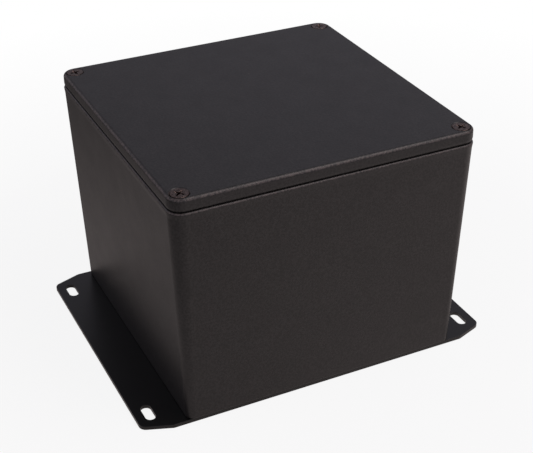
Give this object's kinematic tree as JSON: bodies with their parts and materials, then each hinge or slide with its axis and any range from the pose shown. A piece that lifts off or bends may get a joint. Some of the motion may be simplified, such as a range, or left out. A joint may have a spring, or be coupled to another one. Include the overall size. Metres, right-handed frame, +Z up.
{
  "type": "die-cast aluminium enclosure with mounting flanges",
  "caption": "Deep square die-cast box with a screwed lid, fixed to a flat sheet plate whose slotted ends stick out as mounting flanges.",
  "frame": {"origin": "centre of the flange plate's underside, on the surface that the enclosure is bolted to", "axes": "+Z up from the plate through the lid, X along the slots and across the plate, Y along the plate from one slotted end to the other"},
  "size_m": [0.1204, 0.1478, 0.0966],
  "materials": {
    "casting_coat": "matte",
    "dark_screw_steel": "satin",
    "plate_paint": "satin",
    "zinc_steel": "satin"
  },
  "bodies": {
    "root": {"enclosure_body": "casting_coat", "lid": "casting_coat", "lid_screws": "dark_screw_steel", "flange_plate": "plate_paint", "plate_screws": "zinc_steel", "plate_nuts": "zinc_steel"}
  },
  "joints": []
}
